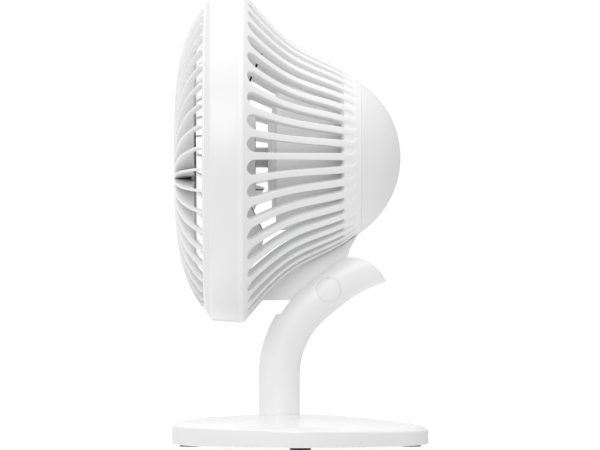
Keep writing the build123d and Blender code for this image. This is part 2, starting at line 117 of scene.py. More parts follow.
# The band and the guard
lip_radius = 91.85
shelf_front, shelf_back, shelf_inner = -54.0, -52.4, 87.5
guard_rim_y, guard_radius, guard_height = -57.8, 91.5, 18.0
guard_rim_back = -54.0
disc_front, disc_back, disc_radius, disc_bore = -65.1, -63.1, 32.0, 6.0
centre_front, centre_inner, centre_outer = -74.5, 8.0, 12.4
fin_count = 43
fin_thickness = 1.5
fin_turn = 2.97
swirl_radius = 12.3
fin_backs = [(76.5, disc_back), (78, -62.8), (82, -60.0), (85.5, -57.0)]

# The dome's wall and spigot
dome_wall, dome_seam, dome_spigot_radius, dome_bore = 2.0, 0.05, 41.5, 39.8

# The impeller. Its blades' edges are (radius, y), and their widths are (radius, degrees). The rear edge
# stands at blade_turn degrees at blade_turn_radius, and moves on by blade_sweep degrees per millimetre.
hub_radius = 25.0
hub_front, hub_rear, sleeve_rear, sleeve_radius = -52.0, -26.9, -19.45, 6.0
blade_count = 3
blade_root, blade_tip = hub_radius - 0.6, 82.0
blade_rear = [
    (24, -34), (35, -33), (47, -29.6), (63.3, -22.5), (67, -21.6), (72, -22.4), (77, -25), (82, -31),
]
blade_front = [(24, -48.5), (50, -50), (70, -48.5), (82, -44.5)]
blade_width = [(24, 60), (50, 50), (82, 44)]
blade_turn, blade_turn_radius, blade_sweep = 7.5, 47, 0.337
blade_bulge = 1.0
root_thickness, tip_thickness = 1.8, 1.2
# The lip's height, and the radius out to which the rear edge is painted near-black: painted shade of the
# thin edge seen in shadow.
edge_lip, painted_shade_edge_end = 0.55, 66.0

# The base's cover
base_top, top_tilt, cover_wall = 19.2, math.radians(0.97), 2.4
rim_height = 10.4
shoulder_radius, shoulder_height = 73.7, 13.7
tilt_start, tilt_run = foot_height + 1.0, 6.0
stem_hole, button_hole = 12.52, 5.75


# ---------------------------------------------------------------- mesh helpers
def new_object(name, data):
    """An object of the scene, made from its mesh, camera or light."""
    thing = bpy.data.objects.new(name, data)
    bpy.context.scene.collection.objects.link(thing)
    return thing


def new_mesh(name, bm):
    """A mesh from a bmesh, which is freed."""
    mesh = bpy.data.meshes.new(name)
    bm.to_mesh(mesh)
    bm.free()
    return mesh


def finish_mesh(name, bm, materials, body, replaces, sharp=38.0):
    """Turns a bmesh in millimetres into a piece that rides on a body, in place of CAD nodes."""
    bmesh.ops.remove_doubles(bm, verts=bm.verts, dist=0.0005)
    bmesh.ops.dissolve_degenerate(bm, edges=bm.edges, dist=0.0003)
    bmesh.ops.recalc_face_normals(bm, faces=bm.faces)
    bmesh.ops.scale(bm, vec=(MM, MM, MM), verts=bm.verts)
    mesh = new_mesh(name, bm)
    mesh.polygons.foreach_set("use_smooth", [True] * len(mesh.polygons))
    mesh.set_sharp_from_angle(angle=math.radians(sharp))
    piece = new_object(name, mesh)
    for material in materials:
        mesh.materials.append(material)
    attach(piece, body)
    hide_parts(*replaces)
    return piece


def skin(bm, rows, closed_rows=False, closed_columns=False, material_index=0):
    """Quads between rows of points; every row has the same number of points."""
    grid = [[bm.verts.new(point) for point in row] for row in rows]
    if closed_rows:
        grid.append(grid[0])
    faces = []
    for first, second in zip(grid, grid[1:]):
        last = len(first) if closed_columns else len(first) - 1
        for i in range(last):
            j = (i + 1) % len(first)
            face = bm.faces.new((first[i], first[j], second[j], second[i]))
            face.material_index = material_index
            faces.append(face)
    return grid, faces


def cap_ends(bm, grid):
    """Closes the two open ends of a skin whose columns are closed."""
    bm.faces.new(grid[0])
    bm.faces.new(list(reversed(grid[-1])))


def rounded(points, steps=5):
    """An outline with its corners rounded. Each point is (y, r) or (y, r, corner radius)."""
    result = []
    for i, point in enumerate(points):
        here = Vector(point[:2])
        if len(point) < 3:
            result.append(tuple(here))
            continue
        before = (Vector(points[i - 1][:2]) - here).normalized()
        after = (Vector(points[(i + 1) % len(points)][:2]) - here).normalized()
        half = before.angle(after) / 2
        reach = point[2] / math.tan(half)
        middle = here + (before + after).normalized() * (point[2] / math.sin(half))
        start, end = here + before * reach - middle, here + after * reach - middle
        turn = start.angle_signed(end)
        for step in range(steps + 1):
            angle = -turn * step / steps
            cos, sin = math.cos(angle), math.sin(angle)
            spoke = Vector((start.x * cos - start.y * sin, start.x * sin + start.y * cos))
            result.append(tuple(middle + spoke))
    return result


def about_head(y, radius, angle):
    """A point of a solid of revolution about the fan's axis; angle 0 is straight up."""
    return (radius * math.sin(angle), y, axis_z + radius * math.cos(angle))


def about_base(radius, z, angle):
    """A point of a solid of revolution about the base's upright axis; angle 0 is at the back."""
    return (radius * math.sin(angle), radius * math.cos(angle), z)


def about_button(radius, z, angle):
    """The same about the key's upright axis."""
    return (radius * math.sin(angle), button_y + radius * math.cos(angle), z)


def lathe(bm, outline, segments=192, place=about_head, closed=True, material_index=0):
    """Turns an outline into a ring. Points on the axis are merged when the mesh is finished."""
    rows = []
    for first, second in outline:
        rows.append([place(first, second, 2 * math.pi * i / segments) for i in range(segments)])
    skin(bm, rows, closed_rows=closed, closed_columns=True, material_index=material_index)


def through(points):
    """A function that follows straight runs through (place, value) points."""
    places, values = np.array(points, float).T
    return lambda place: float(np.interp(place, places, values))


def smooth_curve(points):
    """A natural cubic curve through points, as a function from 0..1 to (y, r), by chord length."""
    points = np.array(points, float)
    knots = np.concatenate([[0], np.cumsum(np.linalg.norm(np.diff(points, axis=0), axis=1))])
    count = len(points)
    gaps = np.diff(knots)
    matrix, right = np.eye(count), np.zeros((count, 2))
    for i in range(1, count - 1):
        matrix[i, i - 1 : i + 2] = gaps[i - 1], 2 * (gaps[i - 1] + gaps[i]), gaps[i]
        slopes = (points[i + 1] - points[i]) / gaps[i] - (points[i] - points[i - 1]) / gaps[i - 1]
        right[i] = 6 * slopes
    bend = np.linalg.solve(matrix, right)

    def at(share):
        s = min(max(share, 0.0), 1.0) * knots[-1]
        i = min(int(np.searchsorted(knots, s, side="right")) - 1, count - 2)
        h, a, b = gaps[i], knots[i + 1] - s, s - knots[i]
        value = (bend[i] * a**3 + bend[i + 1] * b**3) / (6 * h)
        value = value + (points[i] / h - bend[i] * h / 6) * a
        value = value + (points[i + 1] / h - bend[i + 1] * h / 6) * b
        return float(value[0]), float(value[1])

    return at


def prism(outline, low, high, upright=True):
    """A prism for cutting: an outline of (x, y) run along Z, or of (x, z) run along Y."""
    bm = bmesh.new()
    ends = [[(a, b, along) if upright else (a, along, b) for a, b in outline] for along in (low, high)]
    cap_ends(bm, skin(bm, ends, closed_columns=True)[0])
    bmesh.ops.recalc_face_normals(bm, faces=bm.faces)
    return bm


def circle(radius, y, segments=72):
    """A round outline for a cutter that stands upright in the fan's middle plane."""
    turns = [2 * math.pi * i / segments for i in range(segments)]
    return [(radius * math.cos(turn), y + radius * math.sin(turn)) for turn in turns]


def cut_away(bm, cutters):
    """Takes the cutters out of a closed bmesh, with Blender's exact boolean."""
    bmesh.ops.recalc_face_normals(bm, faces=bm.faces)
    body = new_object("before_cut", new_mesh("before_cut", bm))
    tools = []
    for cutter in cutters:
        tool = new_object("cutter", new_mesh("cutter", cutter))
        cut = body.modifiers.new("cut", "BOOLEAN")
        cut.operation = "DIFFERENCE"
        cut.solver = "EXACT"
        cut.object = tool
        tools.append(tool)
    view = bpy.context.evaluated_depsgraph_get()
    result = bmesh.new()
    result.from_mesh(body.evaluated_get(view).to_mesh())
    for piece in [body] + tools:
        mesh = piece.data
        bpy.data.objects.remove(piece)
        bpy.data.meshes.remove(mesh)
    return result


def cad_finish(node, material, bevel=0.0):
    """Gives a CAD node its material, smooth shading and, with a bevel, softly rounded edges."""
    piece = nodes[node]
    piece.data.materials.clear()
    piece.data.materials.append(material)
    piece.data.polygons.foreach_set("use_smooth", [True] * len(piece.data.polygons))
    piece.data.set_sharp_from_angle(angle=math.radians(30))
    if bevel:
        weld = piece.modifiers.new("weld", "WELD")
        weld.merge_threshold = 2e-6
        flat = piece.modifiers.new("flat", "DECIMATE")
        flat.decimate_type = "DISSOLVE"
        flat.angle_limit = math.radians(0.4)
        soft = piece.modifiers.new("soft_edge", "BEVEL")
        soft.width = bevel * MM
        soft.segments = 3
        soft.limit_method = "ANGLE"
        soft.angle_limit = math.radians(35)
        soft.use_clamp_overlap = True


# ---------------------------------------------------------------- materials
def grey(value):
    """A neutral colour of one brightness."""
    return (value, value, value)


def plastic(name, colour, rough, grain=0.02, coat=0.0, spread=0.01, grain_scale=2600.0):
    """Moulded plastic: a faint cloud in colour and roughness, and a fine moulded grain."""
    material = bpy.data.materials.new(name)
    material.use_nodes = True
    tree = material.node_tree
    shader = tree.nodes["Principled BSDF"]
    shader.inputs["IOR"].default_value = 1.49
    shader.inputs["Coat Weight"].default_value = coat
    shader.inputs["Coat Roughness"].default_value = 0.06
    place = tree.nodes.new("ShaderNodeTexCoord")
    cloud = tree.nodes.new("ShaderNodeTexNoise")
    cloud.inputs["Scale"].default_value = 38.0
    cloud.inputs["Detail"].default_value = 3.0
    tint = tree.nodes.new("ShaderNodeValToRGB")
    low = [max(0.0, c - spread) for c in colour]
    high = [min(1.0, c + spread) for c in colour]
    for element, position, shade in zip(tint.color_ramp.elements, (0.3, 0.7), (low, high)):
        element.position = position
        element.color = (*shade, 1)
    sheen = tree.nodes.new("ShaderNodeMapRange")
    sheen.inputs["To Min"].default_value = rough - 0.04
    sheen.inputs["To Max"].default_value = rough + 0.05
    fine = tree.nodes.new("ShaderNodeTexNoise")
    fine.inputs["Scale"].default_value = grain_scale
    fine.inputs["Detail"].default_value = 2.0
    bump = tree.nodes.new("ShaderNodeBump")
    bump.inputs["Strength"].default_value = grain
    bump.inputs["Distance"].default_value = 0.0001
    link = tree.links.new
    link(place.outputs["Object"], cloud.inputs["Vector"])
    link(place.outputs["Object"], fine.inputs["Vector"])
    link(cloud.outputs["Fac"], tint.inputs["Fac"])
    link(tint.outputs["Color"], shader.inputs["Base Color"])
    link(cloud.outputs["Fac"], sheen.inputs["Value"])
    link(sheen.outputs["Result"], shader.inputs["Roughness"])
    link(fine.outputs["Fac"], bump.inputs["Height"])
    link(bump.outputs["Normal"], shader.inputs["Normal"])
    return material


def find_node(tree, kind):
    """The first node of a kind in a material."""
    return next(node for node in tree.nodes if node.type == kind)


def metal(name, colour, rough, cast=False):
    """Plated or cast metal: a plated one is nearly smooth, and a cast one is grainy."""
    material = plastic(name, colour, rough, grain=0.35 if cast else 0.08, spread=0.04, grain_scale=1400.0)
    material.node_tree.nodes["Principled BSDF"].inputs["Metallic"].default_value = 1.0
    return material


def winding(name, colour):
    """Wound enamelled wire: fine ridges round the motor's axis."""
    material = metal(name, colour, 0.35)
    tree = material.node_tree
    wave = tree.nodes.new("ShaderNodeTexWave")
    wave.wave_type = "RINGS"
    wave.rings_direction = "Y"
    wave.inputs["Scale"].default_value = 420.0
    wave.inputs["Distortion"].default_value = 0.6
    place = find_node(tree, "TEX_COORD")
    bump = find_node(tree, "BUMP")
    shift = tree.nodes.new("ShaderNodeMapping")
    shift.inputs["Location"].default_value = (0, 0, -axis_z * MM)
    tree.links.new(place.outputs["Object"], shift.inputs["Vector"])
    tree.links.new(shift.outputs["Vector"], wave.inputs["Vector"])
    tree.links.new(wave.outputs["Fac"], bump.inputs["Height"])
    bump.inputs["Strength"].default_value = 0.6
    return material


def board(name):
    """A circuit board: green mask with faint lighter tracks."""
    material = plastic(name, (0.03, 0.2, 0.09), 0.3, spread=0.02)
    tree = material.node_tree
    shader = tree.nodes["Principled BSDF"]
    cells = tree.nodes.new("ShaderNodeTexBrick")
    cells.inputs["Scale"].default_value = 260.0
    cells.inputs["Mortar Size"].default_value = 0.03
    cells.inputs["Color1"].default_value = (0.03, 0.19, 0.08, 1)
    cells.inputs["Color2"].default_value = (0.035, 0.22, 0.10, 1)
    cells.inputs["Mortar"].default_value = (0.12, 0.42, 0.2, 1)
    tree.links.new(find_node(tree, "TEX_COORD").outputs["Object"], cells.inputs["Vector"])
    tree.links.new(cells.outputs["Color"], shader.inputs["Base Color"])
    return material


arm_white = plastic("arm_white", grey(0.95), 0.34)
shell_white = plastic("shell_white", grey(0.88), 0.36)
rib_white = plastic("rib_white", grey(0.92), 0.42, grain=0.03)
base_white = plastic("base_white", grey(0.93), 0.2, coat=0.5, grain=0.008)
inner_white = plastic("inner_white", grey(0.82), 0.5, grain=0.05)
blade_white = plastic("blade_white", grey(0.82), 0.35)
# The support disc's darker grey is painted shade: it stands for the shadow in the recess behind the fins.
disc_painted_shade = plastic("disc_painted_shade", grey(0.42), 0.5, grain=0.04)
# Near-black painted shade for the blades' thin rear edges, which stand for the edges seen in shadow.
blade_edge_painted_shade = plastic("blade_edge_painted_shade", grey(0.012), 0.8)
key_white = plastic("key_white", grey(0.86), 0.3, coat=0.3)
foot_rubber = plastic("foot_rubber", grey(0.02), 0.75, grain=0.3, spread=0.008)
steel = metal("zinc_steel", (0.55, 0.56, 0.58), 0.32)
cast = metal("cast_weight", (0.16, 0.16, 0.17), 0.62, cast=True)
bronze = metal("bush_bronze", (0.55, 0.36, 0.16), 0.4, cast=True)
magnet = metal("magnet_dark", (0.06, 0.06, 0.07), 0.4)
copper = winding("winding_copper", (0.62, 0.26, 0.10))
green = board("board_green")
sheath = plastic("lead_sheath", grey(0.04), 0.5, grain=0.1)
nylon = plastic("washer_nylon", (0.72, 0.70, 0.62), 0.45)


# ---------------------------------------------------------------- the ribbed housing
# A slot's outline is a loop of (y, w, outward y, outward w), where w runs round the housing.
side_steps, front_steps, groove_steps, end_steps, edge_steps = 22, 12, 8, 6, 4
slot_front_centre = slot_front_y + front_half_width
slot_rear_centre = slot_rear_y - rear_half_width
slot_half_width = through([
    (slot_front_centre, front_half_width), (slot_middle_y, middle_half_width),
    (slot_rear_centre, rear_half_width), (groove_end_y, groove_end_half_width),
])
groove_centre = groove_end_y - groove_end_half_width
crest_curve = smooth_curve(crest)
crest_radius = through([rim_corner] + [crest_curve(i / 400) for i in range(401)])


def inner_radius(y):
    """The housing's inner surface under the crest point at y; its rear end lies on the motor's tub."""
    return max(crest_radius(y) + rib_depth[1], cup_radius + cup_gap)


def half_circle(centre, radius, steps, way=1):
    """The round end of a slot or groove, at its rear, or at its front where way is -1."""
    for i in range(1, steps):
        sin, cos = way * math.sin(math.pi * i / steps), way * math.cos(math.pi * i / steps)
        yield centre + radius * sin, radius * cos, sin, cos


def front_and_sides():
    """The part of a slot's outline that its groove shares."""
    shares = [i / side_steps for i in range(side_steps + 1)]
    ys = [slot_rear_centre + (slot_front_centre - slot_rear_centre) * share for share in shares]
    left = [(y, -slot_half_width(y), 0.0, -1.0) for y in ys]
    front = half_circle(slot_front_centre, front_half_width, front_steps, way=-1)
    return left + list(front) + [(y, slot_half_width(y), 0.0, 1.0) for y in reversed(ys)]


def hole_outline():
    """Where the slot goes right through: it ends in a half circle."""
    rear = half_circle(slot_rear_centre, rear_half_width, 2 * groove_steps + end_steps)
    return front_and_sides() + list(rear)


def groove_outline():
    """The slot at the crest, where it runs on behind the hole as a shallow groove."""
    run = groove_centre - slot_rear_centre
    ys = [slot_rear_centre + run * i / groove_steps for i in range(1, groove_steps + 1)]
    right = [(y, slot_half_width(y), 0.0, 1.0) for y in ys]
    left = [(y, -slot_half_width(y), 0.0, -1.0) for y in reversed(ys)]
    end = half_circle(groove_centre, groove_end_half_width, end_steps)
    return front_and_sides() + right + list(end) + left


groove, hole = groove_outline(), hole_outline()
right_start = side_steps + front_steps
end_start = right_start + side_steps + groove_steps
wall_depth = math.hypot(*rib_depth)


def wall_point(turn, point, depth, out=0.0):
    """A place on a slot's outline, pushed outwards by out and down by depth under the crest."""
    y, w, out_y, out_w = point
    share = depth / wall_depth
    y, w = y + out_y * out, w + out_w * out
    radius = crest_radius(y) + rib_depth[1] * share
    return about_head(y + rib_depth[0] * share, radius, turn + math.asin(w / radius))


def edge_point(turn, point, step):
    """A place on the slot's rounded edge, which widens and fades out along the groove."""
    past = max(0.0, point[0] - slot_rear_centre) / (groove_end_y - slot_rear_centre)
    wide = edge_round + edge_spread * min(1.0, 2 * past)
    deep = edge_round + (groove_depth - edge_round) * min(1.0, 3 * past)
    deep -= edge_rise * max(0.0, past - 0.35)
    angle = math.pi / 2 * step / edge_steps
    return wall_point(turn, point, deep * (1 - math.cos(angle)), wide * (1 - math.sin(angle)))


def border_point(turn, i, inner):
    """Where the groove's point i joins the cell's border: beside it, or on the front or rear row."""
    y, w = groove[i][:2]
    half_pitch = math.pi / slot_count
    angle = math.copysign(half_pitch, w)
    if side_steps < i < right_start:
        angle = half_pitch * (2 * (i - side_steps - 1) / (front_steps - 2) - 1)
        y = front_row_y
    elif end_start < i < end_start + end_steps:
        angle = half_pitch * (1 - 2 * (i - end_start - 1) / (end_steps - 2))
        y = rear_row_y
    if inner:
        return about_head(y + rib_depth[0], inner_radius(y), turn + angle)
    return about_head(y, crest_radius(y), turn + angle)


def slot_cell(bm, turn, crest_rings, inner_ring):
    """Joins the crest to the inside by the slot's walls, which are rounded at the inside too."""
    crest_rings.append([
        wall_point(turn, point, groove_depth + 0.05, 0.3 * max(0.0, point[2])) for point in hole
    ])
    for depth, out in ((groove_depth + 0.3, 0.0), (wall_depth - 0.4, 0.0), (wall_depth, 0.3)):
        crest_rings.append([wall_point(turn, point, depth, out) for point in hole])
    skin(bm, crest_rings + [inner_ring], closed_columns=True)


def blind_cell(bm, turn, crest_rings, inner_ring):
    """Closes the crest with a floor under the groove, and the inside with a plain wall."""
    for rings, depth in ((crest_rings, groove_depth), ([inner_ring], wall_depth)):
        rings = rings + [[wall_point(turn, point, depth) for point in groove]]
        rim = skin(bm, rings, closed_columns=True)[0][-1]
        left = list(reversed(rim[: side_steps + 1])) + list(reversed(rim[end_start + end_steps :]))
        right = rim[right_start : end_start + 1]
        for i in range(len(left) - 1):
            bm.faces.new((left[i], left[i + 1], right[i + 1], right[i]))
        bm.faces.new(rim[side_steps : right_start + 1])
        bm.faces.new([right[-1]] + rim[end_start + 1 : end_start + end_steps] + [left[-1]])


def rear_housing():
    """One cell for each slot, of which the lowest is blind over the neck, with the rim and collar."""
    bm = bmesh.new()
    for step in range(slot_count):
        turn = 2 * math.pi / slot_count * step
        crest_rings = [[border_point(turn, i, False) for i in range(len(groove))]]
        crest_rings += [[edge_point(turn, point, i) for point in groove] for i in range(edge_steps + 1)]
        inner_ring = [border_point(turn, i, True) for i in range(len(groove))]
        cell = blind_cell if step == slot_count // 2 else slot_cell
        cell(bm, turn, crest_rings, inner_ring)
    rim = rounded([
        (front_row_y, crest_radius(front_row_y)), (*rim_corner, 1.1), (seam_y, ring_radius, 0.12),
        (seam_y, spigot_outer), (spigot_y, spigot_outer, 0.4), (spigot_y, spigot_inner, 0.4),
        (-35.4, spigot_inner, 0.5), (front_row_y + rib_depth[0], inner_radius(front_row_y)),
    ], steps=4)
    lathe(bm, rim, segments=slot_count * 10, closed=False)
    collar = rounded([
        (rear_row_y, crest_radius(rear_row_y)), (35.4, 45.6, 1.6), (collar_y, 44.95, 0.3),
        (collar_y, cup_radius + cup_gap), (rear_row_y + rib_depth[0], inner_radius(rear_row_y)),
    ], steps=4)
    lathe(bm, collar, segments=slot_count * 6, closed=False)
    return finish_mesh("ribbed_housing", bm, [rib_white], "head", ["rear_housing"])


# ---------------------------------------------------------------- band, guard, dome and motor
def band():
    """The smooth band: front lip, soft chamfer, slightly flared wall and the shelf behind the guard."""
    bm = bmesh.new()
    outline = rounded([
        (lip_y, lip_radius, 0.25), (-56.2, 92.7, 0.8), (-53.2, 97.9, 1.6), (seam_y, ring_radius, 0.12),
        (seam_y, 96.6), (-43.0, 96.6), (-51.0, 95.4), (shelf_back, 94.6), (shelf_back, shelf_inner, 0.3),
        (shelf_front, shelf_inner, 0.3), (shelf_front, lip_radius),
    ])
    lathe(bm, outline, segments=256)
    return finish_mesh("head_band", bm, [shell_white], "head", ["front_bezel"])


def guard_front(radius):
    """How far forward the fins stand at a radius: flat-topped, steep at the rim."""
    share = radius / guard_radius
    return guard_rim_y - guard_height * (1 - 0.25 * share**2 - 0.75 * share**4.6)


guard_back = through(fin_backs)


def fin(bm, turn):
    """A straight fin with a rounded front edge, from where it is tangent to the centre to the rim."""
    stations = 26
    length = math.sqrt((guard_radius - 2.2) ** 2 - swirl_radius**2)
    half = fin_thickness / 2
    nose = [(half * 0.92, 0.36), (half * 0.6, 0.1)]
    left = [(-w, depth) for w, depth in nose]
    nose = [(-half, 0.8)] + left + [(0, 0)] + nose[::-1] + [(half, 0.8)]
    cos, sin = math.cos(turn), math.sin(turn)
    rows = []
    for i in range(stations + 1):
        x = length * (i / stations) ** 0.92
        radius = math.hypot(x, swirl_radius)
        front, back = guard_front(radius), guard_back(radius)
        section = [(w, front + depth) for w, depth in nose] + [(half * 0.8, back), (-half * 0.8, back)]
        row = []
        for w, y in section:
            z = w - swirl_radius
            row.append((x * cos - z * sin, y, axis_z + x * sin + z * cos))
        rows.append(row)
    cap_ends(bm, skin(bm, rows, closed_columns=True)[0])


def guard():
    """Rim, support disc in a darker grey that is painted shade of its recess, centre ring and a swirl of
    thin fins.
    """
    bm = bmesh.new()
    rim = rounded([
        (guard_rim_back, 88.0), (-55.9, 88.0, 0.4), (guard_rim_y, 89.3, 0.8), (-57.4, 91.7, 0.6),
        (guard_rim_back, radius_of("front_grille")),
    ])
    lathe(bm, rim, segments=220)
    disc = rounded([
        (disc_front, disc_bore), (disc_front, disc_radius, 0.3), (disc_back, disc_radius, 0.3),
        (disc_back, disc_bore),
    ])
    # The disc takes the darker grey of painted shade.
    lathe(bm, disc, segments=128, material_index=1)
    centre = rounded([
        (centre_front, centre_inner), (centre_front, centre_outer, 0.3), (disc_back, centre_outer),
        (disc_back, centre_inner),
    ])
    lathe(bm, centre, segments=96)
    for step in range(fin_count):
        fin(bm, math.radians(fin_turn + 360 * step / fin_count))
    materials = [rib_white, disc_painted_shade]
    return finish_mesh("fin_guard", bm, materials, "head", ["front_grille"], sharp=50)


def guard_cap():
    """The plain cap at the guard's centre, slightly crowned, with its stem."""
    bm = bmesh.new()
    outline = rounded([
        (-66.0, 0.0), (-66.0, 7.8), (-74.6, 7.8), (-74.6, 11.4, 0.2), (-75.6, 11.4, 0.6), (-75.8, 6.0, 3.0),
        (-75.8, 0.0),
    ])
    lathe(bm, outline, segments=96, closed=False)
    return finish_mesh("guard_cap", bm, [shell_white], "head", ["grille_boss"])


def dome():
    """The round back: a cap of a sphere, with a spigot that pushes into the motor's tub."""
    back = back_of("dome_cover")
    rise = back - collar_y
    radius = (dome_rim**2 + rise**2) / (2 * rise)
    middle = back - radius
    rim_angle = math.asin(dome_rim / radius)
    steps, behind_spigot = 40, 6

    def arc(arc_radius, angle):
        return (middle + arc_radius * math.cos(angle), arc_radius * math.sin(angle))

    outside = [arc(radius, (rim_angle - 0.003) * i / steps) for i in range(steps + 1)]
    spigot = [
        (collar_y + dome_seam, dome_rim - 0.06), (collar_y + dome_seam, dome_spigot_radius),
        (collar_y - 6, dome_spigot_radius), (collar_y - 6, dome_bore), (collar_y, dome_bore),
    ]
    inside = [arc(radius - dome_wall, rim_angle * i / steps) for i in range(steps - behind_spigot, -1, -1)]
    bm = bmesh.new()
    lathe(bm, outside + spigot + inside, segments=192, closed=False)
    return finish_mesh("dome_back", bm, [shell_white], "head", ["dome_cover"])


def motor_tub():
    """The round tub that holds the motor, with a soft front edge."""
    back, inner, floor_back, hole = 32.4, cup_radius - 1.8, cup_front + 2, 21.2
    outline = rounded([
        (cup_front, hole), (cup_front, cup_radius, 1.2), (back, cup_radius), (back, inner),
        (floor_back, inner, 1.0), (floor_back, hole),
    ])
    bm = bmesh.new()
    lathe(bm, outline, segments=128)
    return finish_mesh("motor_tub", bm, [inner_white], "head", ["motor_cup"])


def motor_can():
    """The motor's can, with rounded steps, and the wide flange that shows in front of the tub."""
    outline = rounded([
        (-19.4, 6.2), (-19.4, 23.5, 0.7), (-17.1, 23.5, 0.2), (-17.1, 30.5, 0.4), (cup_front, 30.5),
        (cup_front, 21.0), (14.0, 21.0), (14.0, 18.5), (-12.0, 18.5), (-12.0, 6.2),
    ])
    bm = bmesh.new()
    lathe(bm, outline, segments=128)
    return finish_mesh("motor_can", bm, [inner_white], "head", ["motor_body"])


# ---------------------------------------------------------------- impeller
span_steps, chord_steps = 30, 24
rear_edge_y, front_edge_y, width_degrees = through(blade_rear), through(blade_front), through(blade_width)


def blade_section(share_of_span, turn):
    """The two sides of a blade at one radius, from its front edge to its leading rear edge."""
    radius = blade_root + (blade_tip - blade_root) * share_of_span
    front_y, rear_y = front_edge_y(radius), rear_edge_y(radius)
    rear_angle = turn + math.radians(blade_turn + blade_sweep * (radius - blade_turn_radius))
    width = math.radians(width_degrees(radius))
    thickness = root_thickness + (tip_thickness - root_thickness) * share_of_span
    sides = ([], [])
    for j in range(chord_steps + 1):
        at_edge = j == chord_steps
        share = 1.0 if at_edge else 0.984 * j / (chord_steps - 1)
        angle = rear_angle - width * (1 - share)
        y = front_y + (rear_y - front_y) * share + blade_bulge * math.sin(math.pi * share)
        y -= 0.0 if at_edge else edge_lip
        half = thickness / 2 * min(1.0, 0.25 + 2.6 * min(share, 1 - share))
        sides[0].append(about_head(y + half, radius, angle))
        sides[1].append(about_head(y - half, radius, angle))
    return sides


def blade(bm, turn):
    """A twisted blade with a small lip, and a thin near-black strip of painted shade along the inner part
    of its rear edge.
    """
    sections = [blade_section(i / span_steps, turn) for i in range(span_steps + 1)]
    upper, upper_faces = skin(bm, [sides[0] for sides in sections])
    lower, lower_faces = skin(bm, [sides[1] for sides in sections])
    # Faces along the inner part of the rear edge get the near-black painted shade.
    painted_shade_steps = int((painted_shade_edge_end - hub_radius) / (blade_tip - hub_radius) * span_steps)
    for faces in (upper_faces, lower_faces):
        for face in faces[chord_steps - 1 :: chord_steps][:painted_shade_steps]:
            face.material_index = 1
    for i in range(span_steps):
        bm.faces.new((upper[i][0], upper[i + 1][0], lower[i + 1][0], lower[i][0]))
        strip = bm.faces.new((upper[i][-1], lower[i][-1], lower[i + 1][-1], upper[i + 1][-1]))
        strip.material_index = 1 if i < painted_shade_steps else 0
    for j in range(chord_steps):
        for end in (0, -1):
            bm.faces.new((upper[end][j], upper[end][j + 1], lower[end][j + 1], lower[end][j]))


def impeller():
    """Hub, sleeve and blades."""
    bm = bmesh.new()
    hub = rounded([
        (hub_front, 2.0), (hub_front, 13.0, 3.0), (-48.5, 20.0, 4.0), (-43.0, hub_radius, 3.0),
        (hub_rear, hub_radius, 0.4), (hub_rear, 23.2, 0.4), (-44.0, 20.2, 2.0), (-48.0, sleeve_radius, 1.0),
        (sleeve_rear, sleeve_radius, 0.3), (sleeve_rear, 2.0),
    ])
    lathe(bm, hub, segments=96)
    for step in range(blade_count):
        blade(bm, 2 * math.pi * step / blade_count)
    materials = [blade_white, blade_edge_painted_shade]
    return finish_mesh("impeller_wheel", bm, materials, "rotor", ["impeller"])


# ---------------------------------------------------------------- base
def cover_top(reach, steps=30):
    """The cover's shallow dome, from a radius of reach to the middle."""
    rise = base_top - shoulder_height
    curve = (shoulder_radius**2 + rise**2) / (2 * rise)
    radii = [reach * i / steps for i in range(steps, -1, -1)]
    return [(radius, base_top - curve + math.sqrt(curve**2 - radius**2)) for radius in radii]


def cover_outline():
    """The cover's section: a rim with a soft foot, a crisp shoulder, the dome, and the inside."""
    foot, foot_steps = 0.7, 4
    outline = [(base_radius - cover_wall, foot_height)]
    for i in range(foot_steps + 1):
        angle = math.pi / 2 * i / foot_steps
        radius = base_radius - foot + foot * math.sin(angle)
        outline.append((radius, foot_height + foot - foot * math.cos(angle)))
    outline += rounded([
        (base_radius, 5.0), (base_radius, rim_height + 0.9, 1.5),
        (shoulder_radius - 0.4, shoulder_height + 0.03, 2.4), (60.0, 15.55),
    ], steps=8)[1:-1]
    top = cover_top(outline[-1][0] - 2.0)
    inside = [(radius * 0.97, z - cover_wall) for radius, z in reversed(top)]
    return outline + top + inside + [(base_radius - cover_wall, rim_height - 1.0)]


def base_body():
    """The base's cover, whose top slopes to the back, with its holes for arm, key and socket."""
    bm = bmesh.new()
    lathe(bm, cover_outline(), segments=256, place=about_base)
    for vert in bm.verts:
        above = vert.co.z - tilt_start
        if above > 0:
            vert.co.z -= vert.co.y * math.sin(top_tilt) * min(1.0, above / tilt_run)
    bmesh.ops.remove_doubles(bm, verts=bm.verts, dist=0.0005)
    mouth = rounded([(-4.9, 4.3, 1.6), (4.9, 4.3, 1.6), (4.9, 8.5, 1.6), (-4.9, 8.5, 1.6)], steps=8)
    bm = cut_away(bm, [
        prism(circle(stem_hole, stem_y), 12.0, 30.0),
        prism(circle(button_hole, button_y), 10.0, 30.0),
        prism(mouth, 60.0, 90.0, upright=False),
    ])
    return finish_mesh("base_body", bm, [base_white], "base", ["base_cover"])


def press_button():
    """The round key, with a soft rim and a shallow dish for a fingertip."""
    top, bottom = top_of("power_button"), bottom_of("power_button")
    outline = rounded([
        (0.0, bottom), (6.5, bottom, 0.15), (6.5, bottom + 0.9, 0.15), (5.5, bottom + 0.9), (5.5, top, 0.5),
        (4.6, top, 0.3), (3.2, top - 0.28, 1.2), (0.0, top - 0.34),
    ])
    bm = bmesh.new()
    lathe(bm, outline, segments=96, place=about_button, closed=False)
    return finish_mesh("press_button", bm, [key_white], "button", ["power_button"])


